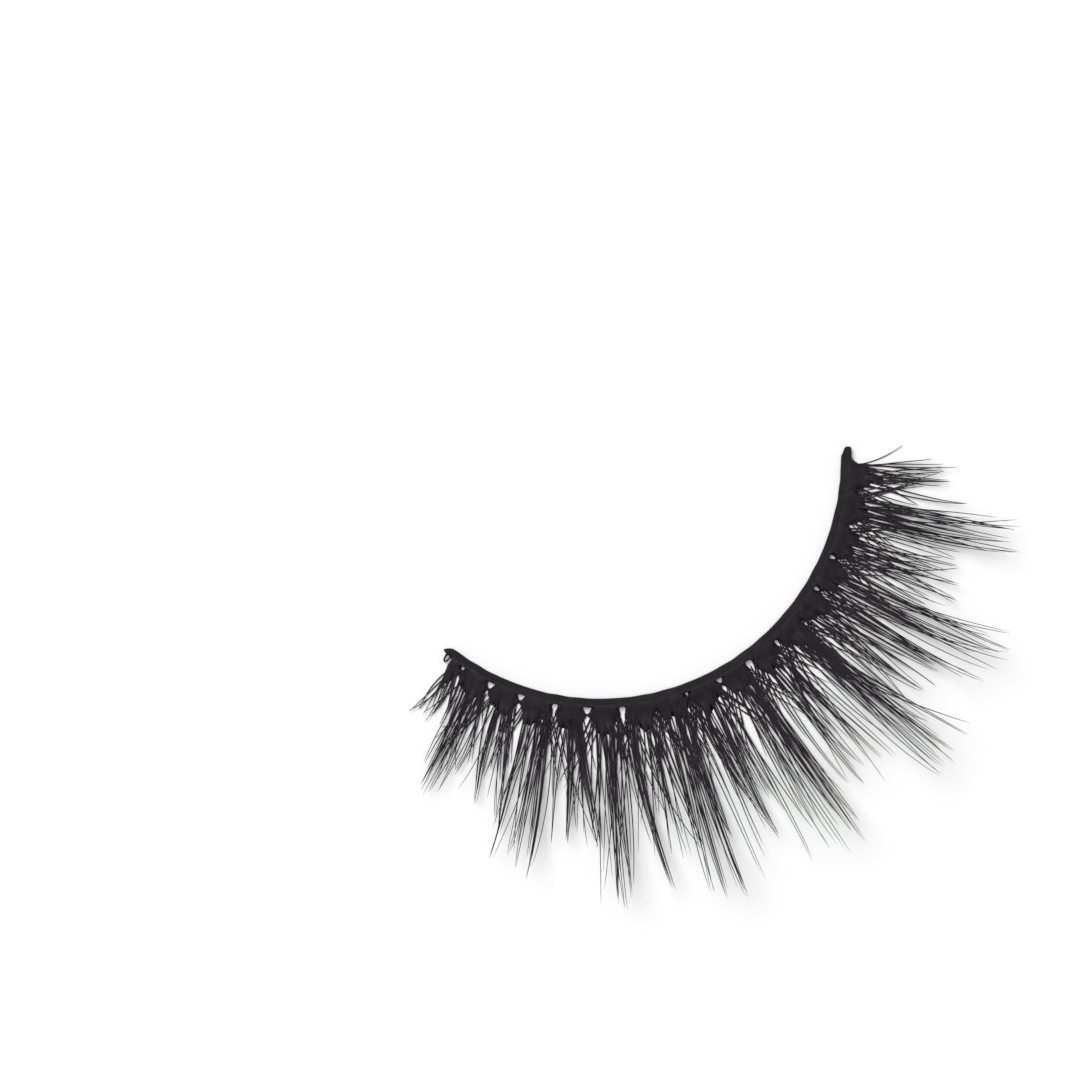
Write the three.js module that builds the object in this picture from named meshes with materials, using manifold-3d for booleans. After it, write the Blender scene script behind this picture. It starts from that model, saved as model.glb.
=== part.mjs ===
// A false eyelash strip for one eye: a curved cotton band with seventeen clusters of lash fibre along it.
// Millimetres, +Z up. The strip lies on the plane z = 0 with its lashes curling upwards.
// The origin is the middle of the band's underside. The middle lashes point along -Y, and the outer
// corner of the eye is at +X.
import * as THREE from "three";
import { mergeVertices } from "three/addons/utils/BufferGeometryUtils.js";
import Module from "manifold-3d";

// Band, measured in plan along its inner edge, the side next to the eye
const bandLength = 34;
const bandRadius = 14.8;
const bandWidth = 0.58;
const bandHeight = 0.8;
const bandRounding = 0.12;
const tabLength = 0.95; // bare stretch at the outer corner
const tabEndWidth = 0.4;
const pointLength = 0.3; // bare stretch at the inner corner
const pointEndWidth = 0.2;

// Fibre roots, gathered into one flat pad for each cluster
const seatGap = 0.06; // between the band and a pad
const padDepth = 1.15; // out from the band
const padHeight = 0.62; // at the band
const padLipHeight = 0.42; // where the fibres leave
const gapAtBand = 0.34; // between neighbouring pads
const gapAtLip = 0.16;

// Locks of fibre
const longestReach = 13.9; // in plan, from the band's inner edge to the furthest tip
const curlRadius = 16.5; // of the upward curl, seen from the side
const curlChange = 0.1; // share by which neighbouring clusters differ in their curl
const layerChange = 0.05; // share by which neighbouring locks differ in theirs
const locksPerCluster = 6;
const lockWidth = 0.6;
const lockThickness = 0.36;
const lockTipShare = 0.16; // of a lock's width and thickness, left at its tip
const rootInset = 0.3; // how deep in its pad a lock starts
const shorterShare = 0.86; // reach of every other lock against the one before
const straightShare = 0.45; // of a lock's reach, over which it still points straight out

// One row for each cluster, from the outer corner to the inner one.
// width: along the band, in pitches. firstTip, lastTip: the places along the band that the cluster's
// first and last lock point to, in pitches from its start. reach: a share of longestReach.
// peak: the place of the longest lock, from 0 for the first to 1 for the last.
// fall: how much of the reach is lost at the lock furthest from the peak.
const clusterRows = [
  { width: 0.85, firstTip: 0.0, lastTip: 0.75, reach: 0.48, peak: 0.55, fall: 0.12 },
  { width: 1, firstTip: 0.14, lastTip: 0.68, reach: 0.84, peak: 1, fall: 0.14 },
  { width: 1, firstTip: 0.12, lastTip: 0.88, reach: 0.63, peak: 0.8, fall: 0.1 },
  { width: 1, firstTip: 0.02, lastTip: 0.86, reach: 0.95, peak: 0.5, fall: 0.08 },
  { width: 1, firstTip: -0.04, lastTip: 0.62, reach: 0.73, peak: 0.4, fall: 0.05 },
  { width: 1, firstTip: -0.24, lastTip: 0.6, reach: 0.99, peak: 0.6, fall: 0.05 },
  { width: 1, firstTip: -0.08, lastTip: 0.9, reach: 0.78, peak: 0.3, fall: 0.1 },
  { width: 1, firstTip: 0.08, lastTip: 0.78, reach: 1, peak: 0.2, fall: 0.12 },
  { width: 1, firstTip: 0.06, lastTip: 0.72, reach: 0.79, peak: 0.4, fall: 0.2 },
  { width: 1, firstTip: -0.1, lastTip: 0.78, reach: 0.96, peak: 0.4, fall: 0.05 },
  { width: 1, firstTip: -0.1, lastTip: 0.9, reach: 0.86, peak: 0.6, fall: 0.2 },
  { width: 1, firstTip: 0.08, lastTip: 0.64, reach: 0.94, peak: 0.4, fall: 0.08 },
  { width: 1, firstTip: -0.18, lastTip: 0.6, reach: 0.69, peak: 0.6, fall: 0.05 },
  { width: 1, firstTip: -0.06, lastTip: 0.62, reach: 0.83, peak: 0.2, fall: 0.1 },
  { width: 1, firstTip: -0.2, lastTip: 0.5, reach: 0.66, peak: 0, fall: 0.35 },
  { width: 1, firstTip: -0.1, lastTip: 0.7, reach: 0.61, peak: 0.5, fall: 0.3 },
  { width: 0.66, firstTip: 0.04, lastTip: 0.62, reach: 0.35, peak: 0.4, fall: 0.2 },
];

// Mesh fineness
const arcSteps = 40;
const padSteps = 4;
const lockSides = 4;
const lockSteps = 6;
const taperPower = 1.7;

const up = new THREE.Vector3(0, 0, 1);
const arcCentreY = bandRadius + bandWidth / 2;
const halfArc = bandLength / bandRadius / 2;
const pitches = clusterRows.reduce((sum, row) => sum + row.width, 0);
const pitch = (bandLength - tabLength - pointLength) / pitches;
const padRadius = bandRadius + bandWidth + seatGap;

const cotton = new THREE.MeshStandardMaterial({ color: 0x1a181b, roughness: 0.8, metalness: 0 });
const fibre = new THREE.MeshStandardMaterial({ color: 0x141315, roughness: 0.45, metalness: 0 });

const wasm = await Module();
wasm.setup();

// Angle from the middle lash, for a distance along the band's inner edge from its outer end
function angleAt(distance) {
  return halfArc - distance / bandRadius;
}

function onArc(angle, radius, z = 0) {
  return new THREE.Vector3(radius * Math.sin(angle), arcCentreY - radius * Math.cos(angle), z);
}

function solidOf(geometry) {
  geometry.deleteAttribute("normal");
  geometry.deleteAttribute("uv");
  const merged = mergeVertices(geometry, 1e-4);
  return new wasm.Manifold(
    new wasm.Mesh({
      numProp: 3,
      vertProperties: merged.attributes.position.array,
      triVerts: new Uint32Array(merged.index.array),
    }),
  );
}

function meshOf(name, solid, material) {
  const { numProp, vertProperties, triVerts } = solid.getMesh();
  const geometry = new THREE.BufferGeometry();
  geometry.setAttribute("position", new THREE.BufferAttribute(vertProperties, numProp));
  geometry.setIndex(new THREE.BufferAttribute(triVerts, 1));
  geometry.computeVertexNormals();
  const mesh = new THREE.Mesh(geometry, material);
  mesh.name = name;
  return mesh;
}

// The stretch of arc between two angles, as plan points
function arcPoints(from, to, radius, steps) {
  return Array.from({ length: steps + 1 }, (_, i) =>
    onArc(THREE.MathUtils.lerp(from, to, i / steps), radius),
  );
}

// The band narrows to a blunt tab at the outer corner and to a point at the inner one
function band() {
  const outerEnd = angleAt(0);
  const innerEnd = angleAt(bandLength);
  const tabStart = angleAt(tabLength);
  const pointStart = angleAt(bandLength - pointLength);
  const lashSide = bandRadius + bandWidth;
  const outline = [
    onArc(outerEnd, lashSide - tabEndWidth),
    ...arcPoints(tabStart, pointStart, bandRadius, arcSteps),
    onArc(innerEnd, bandRadius + pointEndWidth),
    onArc(innerEnd, bandRadius + 2 * pointEndWidth),
    ...arcPoints(pointStart, tabStart, lashSide, arcSteps),
    onArc(outerEnd, lashSide),
  ];
  const shape = new THREE.Shape(outline.map((p) => new THREE.Vector2(p.x, p.y)));
  const geometry = new THREE.ExtrudeGeometry(shape, {
    depth: bandHeight - 2 * bandRounding,
    bevelThickness: bandRounding,
    bevelSize: bandRounding,
    bevelOffset: -bandRounding,
    bevelSegments: 2,
  });
  geometry.translate(0, 0, bandRounding);
  return geometry;
}

// The glued roots of one cluster, flat on the surface and thinner where the fibres leave
function pad(start, end) {
  const lipRadius = padRadius + padDepth;
  const atBand = gapAtBand / 2 / bandRadius;
  const atLip = gapAtLip / 2 / bandRadius;
  const outline = [
    ...arcPoints(start - atBand, end + atBand, padRadius, padSteps),
    ...arcPoints(end + atLip, start - atLip, lipRadius, padSteps),
  ];
  const shape = new THREE.Shape(outline.map((p) => new THREE.Vector2(p.x, p.y)));
  const geometry = new THREE.ExtrudeGeometry(shape, { depth: padHeight, bevelEnabled: false });
  const position = geometry.getAttribute("position");
  for (let i = 0; i < position.count; i++) {
    const radius = Math.hypot(position.getX(i), position.getY(i) - arcCentreY);
    const out = (radius - padRadius) / padDepth;
    const top = THREE.MathUtils.lerp(padHeight, padLipHeight, out);
    position.setZ(i, (position.getZ(i) / padHeight) * top);
  }
  return geometry;
}

// Centreline of a lock: out from the pad, turning towards its tip and curling upwards on a circle
class LockCurve extends THREE.Curve {
  constructor(rootAngle, tipAngle, reach, curl) {
    super();
    const rootRadius = padRadius + padDepth - rootInset;
    const tipRadius = bandRadius + reach;
    const turnRadius = THREE.MathUtils.lerp(rootRadius, tipRadius, straightShare);
    this.root = onArc(rootAngle, rootRadius);
    this.plan = new THREE.QuadraticBezierCurve3(
      this.root,
      onArc(rootAngle, turnRadius),
      onArc(tipAngle, tipRadius),
    );
    this.curl = curl;
  }

  getPoint(share, target = new THREE.Vector3()) {
    this.plan.getPoint(share, target);
    const out = target.distanceTo(this.root);
    target.z = padLipHeight / 2 + this.curl - Math.sqrt(this.curl ** 2 - out ** 2);
    return target;
  }
}

// A blade that follows the curve and tapers to its tip
function lock(curve) {
  const blade = new THREE.CylinderGeometry(1, 1, 1, lockSides, lockSteps);
  const position = blade.getAttribute("position");
  const across = new THREE.Vector3();
  const outward = new THREE.Vector3();
  for (let i = 0; i < position.count; i++) {
    const share = position.getY(i) + 0.5;
    const taper = THREE.MathUtils.lerp(1, lockTipShare, share ** taperPower);
    const along = curve.getTangent(share);
    across.crossVectors(along, up).normalize();
    outward.crossVectors(across, along);
    const point = curve
      .getPoint(share)
      .addScaledVector(across, (position.getX(i) * taper * lockWidth) / 2)
      .addScaledVector(outward, (position.getZ(i) * taper * lockThickness) / 2);
    position.setXYZ(i, point.x, point.y, point.z);
  }
  return blade;
}

// A pad with its locks fanned out of it. start is its distance along the band, and side is +1 or -1
// in turn, for the curl.
function cluster(start, row, side) {
  const length = row.width * pitch;
  const edge = (gapAtLip + lockWidth) / 2;
  let solid = solidOf(pad(angleAt(start), angleAt(start + length)));
  for (let i = 0; i < locksPerCluster; i++) {
    const place = i / (locksPerCluster - 1);
    const layer = i % 2 ? -1 : 1;
    const root = THREE.MathUtils.lerp(edge, length - edge, place);
    const tip = THREE.MathUtils.lerp(row.firstTip, row.lastTip, place) * pitch;
    const lost = (row.fall * Math.abs(place - row.peak)) / Math.max(row.peak, 1 - row.peak);
    const reach = row.reach * longestReach * (1 - lost) * (i % 2 ? shorterShare : 1);
    const curl = curlRadius * (1 + side * curlChange + layer * layerChange);
    const curve = new LockCurve(angleAt(start + root), angleAt(start + tip), reach, curl);
    solid = solid.add(solidOf(lock(curve)));
  }
  return solid;
}

const strip = new THREE.Group();
strip.add(meshOf("band", solidOf(band()), cotton));
let start = tabLength;
clusterRows.forEach((row, i) => {
  const name = `lash_cluster_${String(i + 1).padStart(2, "0")}`;
  strip.add(meshOf(name, cluster(start, row, i % 2 ? -1 : 1), fibre));
  start += row.width * pitch;
});

export default strip;
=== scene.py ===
import math
import random
from collections import namedtuple

import bpy
import numpy as np
from mathutils import Matrix, Vector


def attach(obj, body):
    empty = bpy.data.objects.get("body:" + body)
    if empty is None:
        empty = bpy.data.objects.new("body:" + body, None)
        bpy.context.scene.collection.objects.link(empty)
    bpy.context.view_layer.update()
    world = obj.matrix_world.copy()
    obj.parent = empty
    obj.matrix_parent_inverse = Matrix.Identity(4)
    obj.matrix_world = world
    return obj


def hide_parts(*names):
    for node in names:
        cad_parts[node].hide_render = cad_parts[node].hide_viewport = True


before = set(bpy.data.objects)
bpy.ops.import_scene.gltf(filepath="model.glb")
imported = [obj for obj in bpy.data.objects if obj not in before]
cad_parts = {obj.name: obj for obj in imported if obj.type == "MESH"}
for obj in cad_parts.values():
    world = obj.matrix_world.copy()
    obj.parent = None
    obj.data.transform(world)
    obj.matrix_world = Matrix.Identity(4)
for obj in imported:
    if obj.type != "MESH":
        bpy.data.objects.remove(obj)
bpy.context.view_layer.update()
print("frame loaded:", len(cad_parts), "nodes")

mm = 0.001
anyPhase = (0, 6.3)  # radians, the range that waves start in

# the band's arc, which everything else is placed along
arc = {
    "radius": 14.8,  # mm, of the band's inner edge
    "width": 0.58,
    "height": 0.8,
    "middleDeg": 63.4,  # the middle of the band, from the first lash
}
arc["centreY"] = arc["radius"] + arc["width"] / 2
longestLash = 13.9  # mm, from the band's inner edge


def onArc(deg, out, z=0.0):
    # deg runs along the band from the outer corner, out is mm from its inner edge
    turn = math.radians(arc["middleDeg"] - deg)
    reach = arc["radius"] + out
    return np.array([reach * math.sin(turn), arc["centreY"] - reach * math.cos(turn), z])


def outward(deg):
    turn = math.radians(arc["middleDeg"] - deg)
    return np.array([math.sin(turn), -math.cos(turn), 0.0])


# mesh helpers

def makePiece(name, points, faces, materials, faceSlots=None):
    mesh = bpy.data.meshes.new(name)
    mesh.from_pydata([tuple(p * mm) for p in points], [], faces)
    for material in materials:
        mesh.materials.append(material)
    if faceSlots is not None:
        mesh.polygons.foreach_set("material_index", faceSlots)
    mesh.polygons.foreach_set("use_smooth", [True] * len(mesh.polygons))
    mesh.update()
    piece = bpy.data.objects.new(name, mesh)
    bpy.context.scene.collection.objects.link(piece)
    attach(piece, "root")
    return piece


def loftRings(rings, points, faces):
    # joins closed rings of points in order and closes both ends
    base = len(points)
    count = len(rings[0])
    for ring in rings:
        points.extend(ring)
    for i in range(len(rings) - 1):
        low = base + i * count
        for j in range(count):
            k = (j + 1) % count
            faces.append((low + j, low + k, low + count + k, low + count + j))
    last = base + (len(rings) - 1) * count
    faces.append(tuple(base + j for j in reversed(range(count))))
    faces.append(tuple(last + j for j in range(count)))


# shader node groups that the finishes share

def newGroup(name, inputs, outputs):
    group = bpy.data.node_groups.new(name, "ShaderNodeTree")
    for label, kind, value in inputs:
        socket = group.interface.new_socket(name=label, in_out="INPUT", socket_type=kind)
        socket.default_value = value
    for label, kind in outputs:
        group.interface.new_socket(name=label, in_out="OUTPUT", socket_type=kind)
    return group, group.nodes.new("NodeGroupInput"), group.nodes.new("NodeGroupOutput")


def fibreTone():
    # two close tones that drift along and between fibres
    group, given, result = newGroup(
        "fibreTone",
        [("Scale", "NodeSocketFloat", 900.0),
         ("Dark", "NodeSocketColor", (0.0155, 0.0128, 0.0158, 1)),
         ("Light", "NodeSocketColor", (0.0265, 0.0222, 0.027, 1))],
        [("Color", "NodeSocketColor"), ("Mask", "NodeSocketFloat")],
    )
    nodes, links = group.nodes, group.links
    place = nodes.new("ShaderNodeTexCoord")
    noise = nodes.new("ShaderNodeTexNoise")
    noise.inputs["Detail"].default_value = 4
    spread = nodes.new("ShaderNodeMapRange")
    spread.inputs["From Min"].default_value = 0.3
    spread.inputs["From Max"].default_value = 0.7
    mix = nodes.new("ShaderNodeMix")
    mix.data_type = "RGBA"
    links.new(place.outputs["Object"], noise.inputs["Vector"])
    links.new(given.outputs["Scale"], noise.inputs["Scale"])
    links.new(noise.outputs["Fac"], spread.inputs["Value"])
    links.new(spread.outputs["Result"], mix.inputs["Factor"])
    links.new(given.outputs["Dark"], mix.inputs["A"])
    links.new(given.outputs["Light"], mix.inputs["B"])
    links.new(mix.outputs["Result"], result.inputs["Color"])
    links.new(spread.outputs["Result"], result.inputs["Mask"])
    return group


def glueFilm():
    # patches of dried clear glue: 1 where the film lies thick
    group, given, result = newGroup(
        "glueFilm",
        [("Scale", "NodeSocketFloat", 1200.0), ("Cover", "NodeSocketFloat", 0.5)],
        [("Mask", "NodeSocketFloat")],
    )
    nodes, links = group.nodes, group.links
    place = nodes.new("ShaderNodeTexCoord")
    noise = nodes.new("ShaderNodeTexNoise")
    noise.inputs["Detail"].default_value = 3
    shift = nodes.new("ShaderNodeMath")
    shift.operation = "ADD"
    edge = nodes.new("ShaderNodeMapRange")
    edge.inputs["From Min"].default_value = 0.85
    edge.inputs["From Max"].default_value = 1.15
    links.new(place.outputs["Object"], noise.inputs["Vector"])
    links.new(given.outputs["Scale"], noise.inputs["Scale"])
    links.new(noise.outputs["Fac"], shift.inputs[0])
    links.new(given.outputs["Cover"], shift.inputs[1])
    links.new(shift.outputs["Value"], edge.inputs["Value"])
    links.new(edge.outputs["Result"], result.inputs["Mask"])
    return group


def fineFuzz():
    # fine lint and cuticle grain as a height
    group, given, result = newGroup(
        "fineFuzz",
        [("Scale", "NodeSocketFloat", 9000.0)],
        [("Height", "NodeSocketFloat")],
    )
    nodes, links = group.nodes, group.links
    place = nodes.new("ShaderNodeTexCoord")
    noise = nodes.new("ShaderNodeTexNoise")
    noise.inputs["Detail"].default_value = 5
    links.new(place.outputs["Object"], noise.inputs["Vector"])
    links.new(given.outputs["Scale"], noise.inputs["Scale"])
    links.new(noise.outputs["Fac"], result.inputs["Height"])
    return group


shared = {"tone": fibreTone(), "film": glueFilm(), "fuzz": fineFuzz()}


def newMaterial(name):
    material = bpy.data.materials.new(name)
    material.use_nodes = True
    tree = material.node_tree
    shader = tree.nodes["Principled BSDF"]
    shader.inputs["Specular IOR Level"].default_value = 0.12
    return material, tree, shader


def addGroup(tree, group, **values):
    node = tree.nodes.new("ShaderNodeGroup")
    node.node_tree = shared[group]
    for label, value in values.items():
        node.inputs[label].default_value = value
    return node


def bumpFrom(tree, shader, height, strength, distance):
    # distance is in metres
    bump = tree.nodes.new("ShaderNodeBump")
    bump.inputs["Strength"].default_value = strength
    bump.inputs["Distance"].default_value = distance
    tree.links.new(height, bump.inputs["Height"])
    tree.links.new(bump.outputs["Normal"], shader.inputs["Normal"])


def roughByMask(tree, shader, mask, without, within):
    span = tree.nodes.new("ShaderNodeMapRange")
    span.inputs["To Min"].default_value = without
    span.inputs["To Max"].default_value = within
    tree.links.new(mask, span.inputs["Value"])
    tree.links.new(span.outputs["Result"], shader.inputs["Roughness"])


def lashFibreFinish():
    material, tree, shader = newMaterial("lashFibre")
    tone = addGroup(tree, "tone", Scale=900.0)
    fuzz = addGroup(tree, "fuzz", Scale=14000.0)
    tree.links.new(tone.outputs["Color"], shader.inputs["Base Color"])
    roughByMask(tree, shader, tone.outputs["Mask"], without=0.42, within=0.58)
    bumpFrom(tree, shader, fuzz.outputs["Height"], strength=0.15, distance=0.00001)
    return material


def gluedRootFinish():
    material, tree, shader = newMaterial("gluedRoot")
    dark, light = (0.0175, 0.0145, 0.018, 1), (0.03, 0.0254, 0.0308, 1)
    tone = addGroup(tree, "tone", Scale=2200.0, Dark=dark, Light=light)
    film = addGroup(tree, "film", Scale=1600.0, Cover=0.5)
    fuzz = addGroup(tree, "fuzz", Scale=6000.0)
    tree.links.new(tone.outputs["Color"], shader.inputs["Base Color"])
    roughByMask(tree, shader, film.outputs["Mask"], without=0.7, within=0.42)
    bumpFrom(tree, shader, fuzz.outputs["Height"], strength=0.3, distance=0.00003)
    return material


def cottonFinish():
    material, tree, shader = newMaterial("bandCotton")
    tone = addGroup(tree, "tone", Scale=3000.0, Light=(0.0185, 0.0155, 0.019, 1))
    film = addGroup(tree, "film", Scale=1000.0, Cover=0.45)
    fuzz = addGroup(tree, "fuzz", Scale=11000.0)
    tree.links.new(tone.outputs["Color"], shader.inputs["Base Color"])
    roughByMask(tree, shader, film.outputs["Mask"], without=0.82, within=0.5)
    bumpFrom(tree, shader, fuzz.outputs["Height"], strength=0.6, distance=0.00003)
    return material


finishes = {"fibre": lashFibreFinish(), "root": gluedRootFinish(), "cotton": cottonFinish()}
print("finishes made:", len(finishes))


# the cotton band

bandCord = {
    "outerEnd": -2.6,  # deg, the end of the tab
    "innerEnd": 129.3,
    "ringDeg": 0.1,  # deg between sections
    "ribPitch": 0.17,  # mm between turns of the wound thread
    "ribSlope": 1.1,  # turns of lag round the cord
    "ribHeight": 0.022,
    "ribLevel": 0.6,  # share of a rib that lies below the cord's mean surface
    "ribInset": 0.012,  # mm by which that surface lies inside the cord's outline
    "waves": 6,  # of the cord's wander to either side
    "waveRate": (0.314, 3.14),  # radians per deg
    "waveDepth": (0.0024, 0.0072),  # mm
    "squareness": 3.2,  # of the section: 2 is an ellipse
    "thinning": 0.6,  # power by which its height follows its width where it narrows
    "sides": 20,
    "seed": 7,
}

# deg along the band, then mm from its inner edge to each side of the cord
bandOutline = [
    {"deg": -2.6, "inner": 0.33, "outer": 0.56},
    {"deg": -2.5, "inner": 0.27, "outer": 0.62},
    {"deg": -2.2, "inner": 0.22, "outer": 0.67},
    {"deg": -1.3, "inner": 0.13, "outer": 0.68},
    {"deg": -0.4, "inner": 0.02, "outer": 0.68},
    {"deg": 0.6, "inner": 0.0, "outer": 0.68},
    {"deg": 2.0, "inner": 0.0, "outer": 0.60},
    {"deg": 126.8, "inner": 0.0, "outer": 0.58},
    {"deg": 127.8, "inner": 0.03, "outer": 0.56},
    {"deg": 128.6, "inner": 0.16, "outer": 0.52},
    {"deg": 129.1, "inner": 0.32, "outer": 0.48},
    {"deg": 129.3, "inner": 0.38, "outer": 0.45},
]

# the end of the band's thread, which curls out of it by the last pad
threadEnd = {
    "deg": 127.5,  # the middle of the curl
    "out": 0.5,  # mm
    "wide": 0.14,
    "tall": 0.46,
    "height": (0.4, 0.2),  # mm above the surface, at its start and its end
    "turn": 190,  # deg
    "radius": 0.075,
    "thinning": 0.45,  # share of the radius that is lost at its end
    "rings": 14,
    "sides": 8,
}


def column(rows, label):
    return [row[label] for row in rows]


def addThreadEnd(points, faces):
    side = onArc(threadEnd["deg"] + 1, 0) - onArc(threadEnd["deg"], 0)
    side /= np.linalg.norm(side)
    start, end = threadEnd["height"]
    rings = []
    for i in range(threadEnd["rings"]):
        share = i / (threadEnd["rings"] - 1)
        turn = math.radians(threadEnd["turn"]) * share
        middle = onArc(threadEnd["deg"], threadEnd["out"], start + (end - start) * share)
        middle += side * math.cos(turn) * threadEnd["wide"]
        middle += outward(threadEnd["deg"]) * math.sin(turn) * threadEnd["tall"]
        facing = side * math.cos(turn) + outward(threadEnd["deg"]) * math.sin(turn)
        thick = threadEnd["radius"] * (1 - threadEnd["thinning"] * share)
        ring = []
        for j in range(threadEnd["sides"]):
            around = 2 * math.pi * j / threadEnd["sides"]
            ring.append(middle + thick * (facing * math.cos(around) + np.array([0, 0, math.sin(around)])))
        rings.append(ring)
    loftRings(rings, points, faces)


def makeBand():
    dice = random.Random(bandCord["seed"])
    count = round((bandCord["innerEnd"] - bandCord["outerEnd"]) / bandCord["ringDeg"])
    waves = []
    for _ in range(bandCord["waves"]):
        rate = dice.uniform(*bandCord["waveRate"])
        phase = dice.uniform(*anyPhase)
        waves.append((rate, phase, dice.uniform(*bandCord["waveDepth"])))
    power = 2 / bandCord["squareness"]
    inset = bandCord["ribInset"]
    rings = []
    for i in range(count + 1):
        deg = bandCord["outerEnd"] + (bandCord["innerEnd"] - bandCord["outerEnd"]) * i / count
        inner = np.interp(deg, column(bandOutline, "deg"), column(bandOutline, "inner"))
        outer = np.interp(deg, column(bandOutline, "deg"), column(bandOutline, "outer"))
        width = outer - inner
        height = arc["height"] * min(1.0, (width / arc["width"]) ** bandCord["thinning"])
        wander = sum(depth * math.sin(deg * rate + phase) for rate, phase, depth in waves)
        along = math.radians(deg) * arc["radius"]
        ring = []
        for j in range(bandCord["sides"]):
            turn = 2 * math.pi * j / bandCord["sides"]
            across = math.copysign(abs(math.cos(turn)) ** power, math.cos(turn))
            rise = math.copysign(abs(math.sin(turn)) ** power, math.sin(turn))
            turns = along / bandCord["ribPitch"] + bandCord["ribSlope"] * j / bandCord["sides"]
            rib = bandCord["ribHeight"] * (abs(math.sin(math.pi * turns)) - bandCord["ribLevel"])
            out = (inner + outer) / 2 + across * (width / 2 + rib - inset) + wander
            z = height / 2 + rise * (height / 2 + rib - inset)
            ring.append(onArc(deg, out, max(z, 0.0)))
        rings.append(ring)
    points, faces = [], []
    loftRings(rings, points, faces)
    addThreadEnd(points, faces)
    piece = makePiece("band_cord", points, faces, [finishes["cotton"]])
    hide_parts("band")


makeBand()
print("band made")


# the lash clusters

# A spike is a run of fibres that draw together: where they do and where its tip is, in deg, its reach
# as a share of the longest lash, and how many fibres it has.
Spike = namedtuple("Spike", "waist tip reach fibres")

# A hole stays open between two pads: how wide it is and where it starts and ends, in mm from the
# band's inner edge. Neighbouring pads that leave none are closed up.
Hole = namedtuple("Hole", "width start end")
closedUp = Hole(0, 0, 0)

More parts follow.
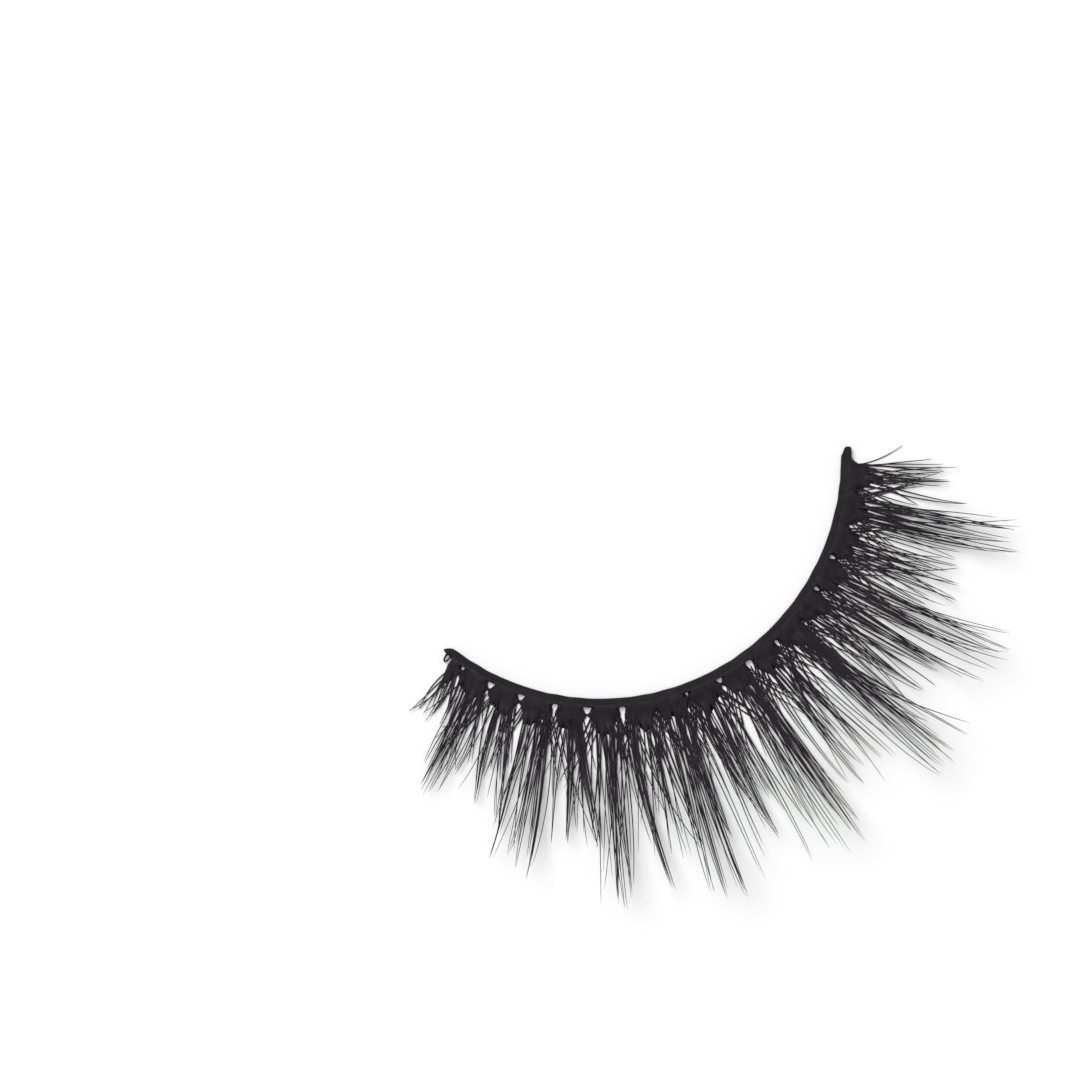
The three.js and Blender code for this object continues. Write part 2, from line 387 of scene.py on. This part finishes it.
# One row for each cluster, from the outer corner: its stretch of the band in deg, the hole between it
# and the cluster before it, how far its fibres bow, in deg, and its spikes.
lashClusters = [
    {"from": 1.1, "to": 7.7, "hole": None, "bow": 4, "spikes": [
        Spike(1.3, -2.4, 0.28, 1), Spike(1.2, 0.2, 0.41, 1), Spike(1.8, 1.3, 0.46, 2),
        Spike(2.6, 2.2, 0.46, 2), Spike(3.2, 3.0, 0.43, 2), Spike(4.2, 3.9, 0.49, 4),
        Spike(5.0, 4.7, 0.45, 3), Spike(6.0, 4.9, 0.38, 2), Spike(6.9, 8.6, 0.36, 2),
        Spike(7.6, 7.1, 0.57, 1)]},
    {"from": 7.7, "to": 15.3, "hole": closedUp, "bow": 4, "spikes": [
        Spike(9.3, 8.6, 0.72, 2), Spike(10.0, 9.3, 0.81, 4), Spike(10.7, 10.0, 0.79, 3),
        Spike(12.2, 11.5, 0.79, 7), Spike(12.8, 12.3, 0.62, 4), Spike(14.0, 12.8, 0.84, 4),
        Spike(13.4, 8.3, 0.82, 1), Spike(14.8, 14.6, 0.58, 2)]},
    {"from": 15.3, "to": 23.2, "hole": Hole(0.4, 1.2, 1.9), "bow": 3, "spikes": [
        Spike(14.8, 16.0, 0.58, 2), Spike(17.2, 16.8, 0.6, 2), Spike(18.2, 18.0, 0.56, 3),
        Spike(18.9, 18.7, 0.5, 3), Spike(19.5, 19.5, 0.62, 6), Spike(21.2, 21.9, 0.64, 4),
        Spike(21.7, 22.3, 0.63, 2), Spike(22.6, 24.2, 0.52, 2)]},
    {"from": 23.2, "to": 31.2, "hole": Hole(0.28, 0.58, 0.94), "bow": 4, "spikes": [
        Spike(25.1, 23.2, 0.9, 2), Spike(25.3, 24.5, 0.84, 3), Spike(25.8, 25.3, 0.93, 5),
        Spike(26.8, 26.2, 0.9, 3), Spike(28.4, 26.4, 0.95, 5), Spike(27.2, 27.5, 0.8, 4),
        Spike(28.7, 28.4, 0.91, 2), Spike(30.1, 27.7, 0.8, 2), Spike(30.8, 30.2, 0.89, 2)]},
    {"from": 31.2, "to": 38.8, "hole": Hole(0.24, 0.6, 0.95), "bow": 3, "spikes": [
        Spike(30.7, 31.8, 0.68, 3), Spike(32.4, 30.9, 0.73, 2), Spike(31.9, 32.0, 0.69, 4),
        Spike(33.6, 32.3, 0.72, 4), Spike(34.4, 34.2, 0.73, 3), Spike(35.3, 35.7, 0.71, 7),
        Spike(36.8, 36.0, 0.62, 3), Spike(37.0, 38.6, 0.68, 3)]},
    {"from": 38.8, "to": 46.3, "hole": closedUp, "bow": 4, "spikes": [
        Spike(40.6, 35.2, 0.97, 2), Spike(40.2, 37.0, 0.97, 2), Spike(38.6, 38.8, 0.8, 3),
        Spike(40.8, 39.7, 0.97, 3), Spike(41.2, 40.8, 1.0, 7), Spike(42.0, 41.9, 0.98, 6),
        Spike(42.6, 42.4, 0.94, 5), Spike(43.3, 43.1, 0.98, 3), Spike(44.4, 43.6, 0.72, 2)]},
    {"from": 46.3, "to": 54.1, "hole": Hole(0.22, 0.76, 1.26), "bow": 2, "spikes": [
        Spike(47.2, 45.5, 0.79, 3), Spike(47.7, 46.9, 0.76, 3), Spike(48.9, 46.9, 0.6, 2),
        Spike(48.3, 48.0, 0.69, 3), Spike(49.0, 49.3, 0.75, 5), Spike(50.0, 50.9, 0.79, 4),
        Spike(52.9, 52.8, 0.75, 3), Spike(53.6, 54.2, 0.66, 2)]},
    {"from": 54.1, "to": 61.8, "hole": Hole(0.46, 0.62, 1.42), "bow": 2, "spikes": [
        Spike(55.2, 54.7, 0.91, 2), Spike(55.8, 55.7, 1.0, 9), Spike(56.6, 56.2, 0.91, 4),
        Spike(57.4, 59.5, 0.94, 5), Spike(58.8, 57.9, 1.0, 4), Spike(59.2, 58.6, 0.95, 2),
        Spike(59.2, 60.3, 0.75, 2)]},
    {"from": 61.8, "to": 69.9, "hole": Hole(0.44, 0.6, 0.92), "bow": 2, "spikes": [
        Spike(62.4, 62.2, 0.95, 2), Spike(63.2, 62.5, 0.7, 3), Spike(63.8, 63.6, 0.62, 3),
        Spike(64.8, 64.8, 0.79, 7), Spike(65.4, 65.1, 0.73, 2), Spike(68.9, 65.5, 0.66, 10),
        Spike(69.0, 67.8, 0.6, 2)]},
    {"from": 69.9, "to": 77.3, "hole": Hole(0.2, 0.55, 0.82), "bow": 1, "spikes": [
        Spike(70.2, 68.8, 0.96, 4), Spike(71.2, 71.4, 0.95, 4), Spike(72.0, 71.7, 0.97, 6),
        Spike(73.0, 72.5, 0.95, 3), Spike(74.0, 73.9, 0.95, 8), Spike(74.6, 75.3, 0.91, 2),
        Spike(75.0, 75.9, 0.91, 2), Spike(74.4, 71.0, 0.7, 2)]},
    {"from": 77.3, "to": 85.0, "hole": closedUp, "bow": 0, "spikes": [
        Spike(78.6, 75.2, 0.73, 6), Spike(78.6, 77.5, 0.75, 2), Spike(78.9, 78.8, 0.6, 4),
        Spike(79.3, 79.9, 0.73, 2), Spike(79.6, 81.0, 0.55, 2), Spike(84.4, 80.4, 0.88, 14),
        Spike(82.8, 82.3, 0.73, 1), Spike(83.2, 84.6, 0.7, 2)]},
    {"from": 85.0, "to": 93.0, "hole": Hole(0.42, 0.56, 1.26), "bow": 0, "spikes": [
        Spike(85.9, 85.7, 0.86, 2), Spike(86.2, 86.1, 0.88, 5), Spike(88.6, 86.9, 0.94, 2),
        Spike(87.8, 87.8, 0.9, 8), Spike(89.4, 88.1, 0.88, 5), Spike(89.6, 89.9, 0.91, 3),
        Spike(91.0, 91.3, 0.6, 2)]},
    {"from": 93.0, "to": 100.4, "hole": Hole(0.56, 0.52, 1.0), "bow": -1, "spikes": [
        Spike(94.2, 90.2, 0.66, 9), Spike(93.6, 91.9, 0.67, 2), Spike(94.0, 92.6, 0.62, 2),
        Spike(94.8, 93.7, 0.6, 2), Spike(95.8, 95.0, 0.65, 4), Spike(97.8, 96.4, 0.69, 3),
        Spike(99.0, 97.4, 0.66, 3)]},
    {"from": 100.4, "to": 108.4, "hole": Hole(0.38, 0.58, 1.15), "bow": -1, "spikes": [
        Spike(99.7, 99.8, 0.79, 2), Spike(100.9, 100.1, 0.84, 8), Spike(102.2, 101.9, 0.8, 6),
        Spike(102.8, 102.9, 0.73, 2), Spike(103.6, 103.3, 0.74, 2), Spike(105.7, 105.4, 0.77, 3),
        Spike(104.4, 106.2, 0.5, 3)]},
    {"from": 108.4, "to": 115.8, "hole": Hole(0.48, 0.55, 0.92), "bow": -1, "spikes": [
        Spike(109.2, 105.5, 0.66, 6), Spike(108.4, 106.4, 0.6, 2), Spike(109.4, 108.5, 0.52, 1),
        Spike(110.3, 110.3, 0.45, 3), Spike(111.2, 111.6, 0.4, 3), Spike(113.9, 110.0, 0.57, 7)]},
    {"from": 115.8, "to": 123.2, "hole": Hole(0.5, 0.5, 0.96), "bow": -1, "spikes": [
        Spike(114.6, 115.0, 0.46, 2), Spike(115.2, 116.1, 0.58, 2), Spike(116.4, 116.2, 0.5, 2),
        Spike(117.6, 117.4, 0.6, 4), Spike(118.3, 118.1, 0.62, 5), Spike(119.0, 118.8, 0.59, 4),
        Spike(120.7, 120.0, 0.5, 2), Spike(121.2, 121.0, 0.32, 2)]},
    {"from": 123.2, "to": 126.5, "hole": Hole(0.26, 0.58, 0.8), "bow": -2, "spikes": [
        Spike(123.4, 123.5, 0.34, 5), Spike(124.4, 124.7, 0.18, 2), Spike(125.8, 126.0, 0.31, 1),
        Spike(126.2, 127.0, 0.34, 1), Spike(126.6, 128.1, 0.27, 1)]},
]

lashFibre = {
    "radius": 0.0425,  # mm at its thickest
    "thickness": (0.75, 1.1),  # share of that, by which fibres differ
    "taper": (0.1, 0.55),  # share lost evenly along it, and share lost towards its tip
    "pointed": 0.3,  # share left at the very tip
    "rings": 18,
    "sides": 6,
    "seed": 100,
    "rootOut": (0.85, 1.15),  # mm from the band's inner edge
    "rootHeight": (0.08, 0.34),
    "rootMargin": 0.3,  # deg kept clear at the cluster's sides
    "rootSpread": 2.8,  # deg to either side of the place where a spike draws together
    "leastSpread": 1,  # deg that the roots cover at least, where the cluster's side is near
    "rootScatter": 0.4,
    "waistOut": (0.9, 0.36, 3.3),  # mm, share of the reach, and the furthest it may be
    "waistSpread": 1.2,  # deg to either side
    "crowded": 5,  # fibres in a spike, past which it draws together more tightly
    "crowding": 0.4,  # power by which it does
    "tipSpread": 0.17,
    "perStrand": 1.3,  # fibres that lie side by side and look like one stroke
    "strandPlace": (0.2, 0.8),  # of a strand, within its share of the spike
    "scatter": 0.09,  # deg between the fibres of a strand
    "longest": 2,  # fibres of a spike that reach its tip
    "longestCut": 0.96,  # share of its reach that those have at least
    "shortest": 0.6,  # share that the others have at least
    "shortening": 1.2,  # power that keeps most of them near the tip
    "spikeBow": 3,  # deg by which the bow of whole spikes differs
    "fibreBow": 3,
    "crossing": 0.9,  # fibres of a spike, on average, that end at the tip of another one
    "fewest": 3,  # fibres that a spike counts as having, at least, for that
    "overshoot": (0.9, 1.2),  # how far past the waist a fibre holds its first direction
    "tipHold": 0.45,  # share of the way back to the waist over which it holds its last one
    "sinking": 0.5,  # share of its height at the root that it loses on the way
    "curlStart": 1.5,  # mm out, where the fibres start to rise
    "curlRadius": 17.2,
    "curlLimit": 0.97,  # of that radius, the furthest out that the curl is followed
    "curlChange": 0.08,
    "curlScatter": 0.03,
}

# the short fibres at each side of a cluster, which lean out in step and cross those of its neighbour
crossFibre = {
    "count": 6,  # at a side, in a cluster of the longest lashes
    "spacing": 0.5,  # deg
    "jitter": 0.2,  # share of the spacing
    "lean": (16, 31),  # deg
    "leanScatter": 2.5,
    "length": (2.0, 5.2),  # mm
    "share": 0.55,  # of the cluster's tallest spike, which they never pass
}

# the few long fibres of each cluster that cross the others at odd angles
strayFibre = {
    "count": 5,
    "lean": 8,  # deg
    "reach": (0.4, 0.8),  # of the cluster's tallest spike
}

# what the crossing and the stray fibres have in common
freeFibre = {
    "foot": 1.15,  # mm out
    "waistShare": 0.25,  # of the way to the tip
    "overshoot": 1.2,
    "strip": (0.5, 126),  # deg, the ends of the strip, which none leans out past
    "turnBack": 0.5,  # share of its lean that one turned back keeps
}


def turned(vector, deg):
    # towards the inner corner for a positive angle
    turn = math.radians(-deg)
    x = vector[0] * math.cos(turn) - vector[1] * math.sin(turn)
    y = vector[0] * math.sin(turn) + vector[1] * math.cos(turn)
    return np.array([x, y, 0.0])


def fibrePath(root, waist, tip, bow, overshoot, cut, curl):
    # a curve in plan through the waist of its spike, cut short, then lifted on a circle past the roots
    first = root + (waist - root) * overshoot
    second = tip - turned(tip - waist, -bow) * lashFibre["tipHold"]
    share = np.linspace(0, cut, lashFibre["rings"])[:, None]
    rest = 1 - share
    path = root * rest**3 + first * 3 * share * rest**2 + second * 3 * share**2 * rest + tip * share**3
    centre = np.array([0.0, arc["centreY"]])
    out = np.linalg.norm(path[:, :2] - centre, axis=1) - arc["radius"] - lashFibre["curlStart"]
    out = np.clip(out, 0, curl * lashFibre["curlLimit"])
    path[:, 2] = root[2] * (1 - share[:, 0] * lashFibre["sinking"]) + curl - np.sqrt(curl**2 - out**2)
    return path


def addFibre(points, faces, path, radius):
    # a tapered tube that ends in a hairline and then a point
    along = np.gradient(path, axis=0)
    along /= np.linalg.norm(along, axis=1)[:, None]
    across = np.cross(along, [0, 0, 1.0])
    across /= np.linalg.norm(across, axis=1)[:, None]
    above = np.cross(across, along)
    share = np.linspace(0, 1, len(path))
    evenly, late = lashFibre["taper"]
    thick = radius * (1 - evenly * share - late * share**3)
    thick[-1] *= lashFibre["pointed"]
    base = len(points)
    sides = lashFibre["sides"]
    for i in range(len(path)):
        for j in range(sides):
            turn = 2 * math.pi * j / sides
            points.append(path[i] + thick[i] * (math.cos(turn) * across[i] + math.sin(turn) * above[i]))
    for i in range(len(path) - 1):
        low = base + i * sides
        for j in range(sides):
            k = (j + 1) % sides
            faces.append((low + j, low + k, low + sides + k, low + sides + j))
    last = base + (len(path) - 1) * sides
    faces.append(tuple(base + j for j in reversed(range(sides))))
    faces.append(tuple(last + j for j in range(sides)))


def clearOf(hole):
    # deg from a side of the cluster that no root comes nearer than, so the holes stay open
    if hole is None:
        return lashFibre["rootMargin"]
    return max(lashFibre["rootMargin"], math.degrees(hole.width / 2 / arc["radius"]))


def growFibres(row, holeAfter, curl, dice, points, faces):
    low = row["from"] + clearOf(row["hole"])
    high = row["to"] - clearOf(holeAfter)

    def grow(deg, waist, tip, bow, overshoot, cut):
        root = onArc(deg, dice.uniform(*lashFibre["rootOut"]), dice.uniform(*lashFibre["rootHeight"]))
        bend = curl * (1 + dice.gauss(0, lashFibre["curlScatter"]))
        bow += dice.gauss(0, lashFibre["fibreBow"])
        path = fibrePath(root, waist, tip, bow, overshoot, cut, bend)
        addFibre(points, faces, path, lashFibre["radius"] * dice.uniform(*lashFibre["thickness"]))

    for spike in row["spikes"]:
        nearest, share, furthest = lashFibre["waistOut"]
        waistOut = min(nearest + share * spike.reach * longestLash, furthest)
        first = min(max(spike.waist - lashFibre["rootSpread"], low), high - lashFibre["leastSpread"])
        last = max(min(spike.waist + lashFibre["rootSpread"], high), low + lashFibre["leastSpread"])
        bow = row["bow"] + dice.gauss(0, lashFibre["spikeBow"])
        overshoot = dice.uniform(*lashFibre["overshoot"])
        tightness = min(1.0, lashFibre["crowded"] / spike.fibres) ** lashFibre["crowding"]
        spread = lashFibre["waistSpread"] * tightness
        strands = math.ceil(spike.fibres / lashFibre["perStrand"])
        sides = [(k + dice.uniform(*lashFibre["strandPlace"])) / strands * 2 - 1 for k in range(strands)]
        longest = dice.sample(range(spike.fibres), min(spike.fibres, lashFibre["longest"]))
        crossing = lashFibre["crossing"] / max(spike.fibres, lashFibre["fewest"])
        for i in range(spike.fibres):
            side = sides[i % strands]
            loose = dice.gauss(0, lashFibre["scatter"])
            deg = first + (last - first) * (side + 1) / 2 + dice.gauss(0, lashFibre["rootScatter"])
            least = lashFibre["longestCut"] if i in longest else lashFibre["shortest"]
            cut = 1 - (1 - least) * dice.random() ** lashFibre["shortening"]
            waist = onArc(spike.waist + side * spread + loose, waistOut)
            goal = dice.choice(row["spikes"]) if dice.random() < crossing else spike
            tipDeg = goal.tip + side * lashFibre["tipSpread"] + dice.gauss(0, lashFibre["scatter"])
            tip = onArc(tipDeg, goal.reach * longestLash)
            grow(deg, waist, tip, bow, overshoot, cut)
    tallest = max(spike.reach for spike in row["spikes"]) * longestLash

    def growFree(deg, lean, length):
        # turned back where it would lean out past either end of the strip
        start, end = freeFibre["strip"]
        if not start < deg + math.degrees(math.radians(lean) * length / arc["radius"]) < end:
            lean = -lean * freeFibre["turnBack"]
        foot = onArc(deg, freeFibre["foot"])
        tip = foot + turned(outward(deg), lean) * length
        waist = foot * (1 - freeFibre["waistShare"]) + tip * freeFibre["waistShare"]
        grow(deg, waist, tip, row["bow"], freeFibre["overshoot"], 1)

    for edge, inward in ((low, 1), (high, -1)):
        lean = -inward * dice.uniform(*crossFibre["lean"])
        for i in range(round(crossFibre["count"] * tallest / longestLash)):
            step = i + dice.uniform(-crossFibre["jitter"], crossFibre["jitter"])
            deg = edge + inward * step * crossFibre["spacing"]
            length = min(dice.uniform(*crossFibre["length"]), tallest * crossFibre["share"])
            growFree(deg, lean + dice.gauss(0, crossFibre["leanScatter"]), length)
    for i in range(round(strayFibre["count"] * tallest / longestLash)):
        length = tallest * dice.uniform(*strayFibre["reach"])
        growFree(dice.uniform(low, high), dice.gauss(0, strayFibre["lean"]), length)


rootPad = {
    "columns": 44,
    "rows": 34,
    "start": 0.34,  # mm out, inside the band
    "end": (1.05, 2.75),  # at its sides and, at most, in its middle
    "crown": 1.2,  # power: higher for a more pointed front
    "teeth": (0.6, 0.24, 0.14),  # of the front: their mean, the broad ones and the fine ones
    "toothRate": (9, 27),  # radians across the pad
    "thick": (0.78, 0.28),  # at the band and at the front edge
    "base": 0.02,  # mm above the surface
    "thinnest": 0.06,  # mm of its top above the surface at a hole's rim
    "slope": (0.35, 1.6),  # mm out, between which it thins
    "nose": 0.75,  # share of its thickness that the front edge is rounded by
    "overlap": 0.05,  # mm past its stretch, over its neighbours
    "rim": 0.2,  # mm over which it thins towards a hole
    "rimLeast": 0.1,  # share of its thickness that is left there
    "holeOpening": 5,  # how fast a hole widens from its start
    "holePowers": (0.5, 0.6),  # of its outline at its start and at its end
    "fillet": 0.27,  # mm that the first pad runs on along the tab
    "filletEnd": 1.1,  # mm out
    "filletLength": 0.42,
    "strandHeight": 0.012,  # mm
    "strandRate": (60, 97),  # radians across the pad
    "lumpHeight": 0.008,
    "lumpRate": (2.1, 3.7),  # radians per deg
}


def holeEdge(hole, out):
    # mm from the boundary to a pad's side, which opens into a three-cornered hole
    if hole is None:
        return 0.0
    if hole.width == 0 or out <= hole.start or out >= hole.end:
        return -rootPad["overlap"]
    share = (out - hole.start) / (hole.end - hole.start)
    opening, closing = rootPad["holePowers"]
    return hole.width / 2 * min(1.0, share * rootPad["holeOpening"]) ** opening * (1 - share) ** closing


def padTop(out, share, side, deg, fromHole, phase):
    # share runs from the band to the pad's front, side from its outer-corner side to the other, and
    # fromHole is 0 at the edge of a hole and 1 away from it
    high, low = rootPad["thick"]
    if share == 0:
        return high / 2  # sunk in the band, so no edge of the pad shows on it
    start, end = rootPad["slope"]
    level = min(max((out - start) / (end - start), 0), 1)
    thick = low + (high - low) * (1 + math.cos(math.pi * level)) / 2
    thick *= 1 - rootPad["nose"] * share**8
    coarse, fine = rootPad["strandRate"]
    strands = 0.5 * math.sin(side * coarse + phase[2] + 3 * share) + 0.4 * math.sin(side * fine + phase[3])
    slow, quick = rootPad["lumpRate"]
    lumps = math.sin(deg * slow) + math.sin(deg * quick + 4 * share)
    ridges = rootPad["strandHeight"] * strands * math.sin(math.pi * side) ** 0.4
    ridges += rootPad["lumpHeight"] * lumps
    rim = rootPad["rimLeast"] + (1 - rootPad["rimLeast"]) * fromHole
    return rootPad["thinnest"] + (thick - rootPad["thinnest"] + ridges * min(1.0, share * 2)) * rim


def addPad(row, holeAfter, dice, points, faces):
    degPerMm = math.degrees(1 / arc["radius"])
    phase = [dice.uniform(*anyPhase) for _ in range(4)]
    mean, broad, fine = rootPad["teeth"]
    broadRate, fineRate = rootPad["toothRate"]
    least, most = rootPad["end"]
    rings = []
    for v in range(rootPad["rows"]):
        share = v / (rootPad["rows"] - 1)
        top, bottom = [], []
        for u in range(rootPad["columns"] + 1):
            side = u / rootPad["columns"]
            ragged = mean + broad * math.sin(broadRate * side + phase[0])
            ragged += fine * math.sin(fineRate * side + phase[1])
            crown = math.sin(math.pi * side) ** rootPad["crown"]
            end = least + (most - least) * ragged * crown
            out = rootPad["start"] + (end - rootPad["start"]) * share
            edges = [holeEdge(row["hole"], out), holeEdge(holeAfter, out)]
            if row["hole"] is None:
                inFillet = max(0.0, (rootPad["filletEnd"] - out) / rootPad["filletLength"])
                edges[0] = -rootPad["fillet"] * inFillet**2
            before, after = edges[0] * degPerMm, edges[1] * degPerMm
            deg = row["from"] + before + (row["to"] - row["from"] - before - after) * side
            fromEdges = [(deg - row["from"] - before) / degPerMm, (row["to"] - after - deg) / degPerMm]
            fromHole = 1.0
            for edge, gap in zip(edges, fromEdges):
                if edge > 0:
                    fromHole = min(fromHole, gap / rootPad["rim"])
            top.append(onArc(deg, out, padTop(out, share, side, deg, fromHole, phase)))
            bottom.append(onArc(deg, out, rootPad["base"]))
        rings.append(top + bottom[::-1])
    loftRings(rings, points, faces)


def makeCluster(number, row, holeAfter):
    dice = random.Random(lashFibre["seed"] + number)
    padPoints, padFaces = [], []
    addPad(row, holeAfter, dice, padPoints, padFaces)
    points, faces = list(padPoints), list(padFaces)
    side = -1 if number % 2 == 0 else 1
    curl = lashFibre["curlRadius"] * (1 + side * lashFibre["curlChange"])
    growFibres(row, holeAfter, curl, dice, points, faces)
    slots = [1] * len(padFaces) + [0] * (len(faces) - len(padFaces))
    name = f"lash_fibres_{number:02d}"
    piece = makePiece(name, points, faces, [finishes["fibre"], finishes["root"]], slots)
    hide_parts(f"lash_cluster_{number:02d}")
    return len(faces)


total = 0
for number, row in enumerate(lashClusters, start=1):
    holeAfter = lashClusters[number]["hole"] if number < len(lashClusters) else None
    total += makeCluster(number, row, holeAfter)
print("lash clusters made:", len(lashClusters), "faces:", total)


# surface, light and camera

studio = {
    "floorSize": 1.2,  # m
    "floorDrop": 0.00001,  # m below the band's underside
    "floorColor": (0.9, 0.9, 0.9, 1),
    "floorRoughness": 0.9,
    "skyStrength": 0.245,
}

# soft lamps: their strength, how wide they are (deg) and their place right, up and above in the picture
lamps = [
    {"name": "key", "strength": 2.05, "spread": 26, "place": (-0.13, 0.15, 0.46)},
    {"name": "overhead", "strength": 0.9, "spread": 26, "place": (0, 0, 0.5)},
]

view = {
    "pixels": 1080,  # across the picture
    "pixel": 0.0616,  # mm on the surface for one of them
    "arcFromCentre": (60.2, 82.0),  # pixels right and up from the picture's middle to the arc's centre
    "turnDeg": 26.65,  # clockwise, of the picture's up from the part's +Y
    "lens": 300,  # mm, as is the sensor
    "sensor": 36,
    "clip": (0.01, 10),  # m
}


def makeFloor():
    half = studio["floorSize"] / 2
    mesh = bpy.data.meshes.new("surface")
    corners = [(-half, -half), (half, -half), (half, half), (-half, half)]
    mesh.from_pydata([(x, y, -studio["floorDrop"]) for x, y in corners], [], [(0, 1, 2, 3)])
    material, tree, shader = newMaterial("paleSurface")
    shader.inputs["Base Color"].default_value = studio["floorColor"]
    shader.inputs["Roughness"].default_value = studio["floorRoughness"]
    shader.inputs["Specular IOR Level"].default_value = 0.0
    mesh.materials.append(material)
    floor = bpy.data.objects.new("surface", mesh)
    bpy.context.scene.collection.objects.link(floor)


def pictureAxes():
    turn = math.radians(view["turnDeg"])
    right = Vector((math.cos(turn), -math.sin(turn), 0))
    up = Vector((math.sin(turn), math.cos(turn), 0))
    return right, up


def makeLight():
    right, up = pictureAxes()
    for row in lamps:
        lamp = bpy.data.lights.new(row["name"], "SUN")
        lamp.energy = row["strength"]
        lamp.angle = math.radians(row["spread"])
        across, along, above = row["place"]
        light = bpy.data.objects.new(row["name"], lamp)
        light.location = right * across + up * along + Vector((0, 0, above))
        light.rotation_euler = (-light.location).to_track_quat("-Z", "Y").to_euler()
        bpy.context.scene.collection.objects.link(light)
    world = bpy.data.worlds.new("sky")
    world.use_nodes = True
    sky = world.node_tree.nodes["Background"]
    sky.inputs["Color"].default_value = (1, 1, 1, 1)
    sky.inputs["Strength"].default_value = studio["skyStrength"]
    bpy.context.scene.world = world


def makeCamera():
    right, up = pictureAxes()
    lens = bpy.data.cameras.new("camera")
    lens.lens = view["lens"]
    lens.sensor_width = view["sensor"]
    lens.clip_start, lens.clip_end = view["clip"]
    across, along = view["arcFromCentre"]
    centre = Vector((0, arc["centreY"], 0)) - (right * across + up * along) * view["pixel"]
    distance = view["pixels"] * view["pixel"] * mm * lens.lens / lens.sensor_width
    camera = bpy.data.objects.new("camera", lens)
    basis = Matrix((right, up, Vector((0, 0, 1)))).transposed()
    camera.matrix_world = Matrix.Translation(centre * mm + Vector((0, 0, distance))) @ basis.to_4x4()
    bpy.context.scene.collection.objects.link(camera)
    bpy.context.scene.camera = camera


makeFloor()
makeLight()
makeCamera()
bpy.context.scene.view_settings.view_transform = "Standard"
print("surface, light and camera made")
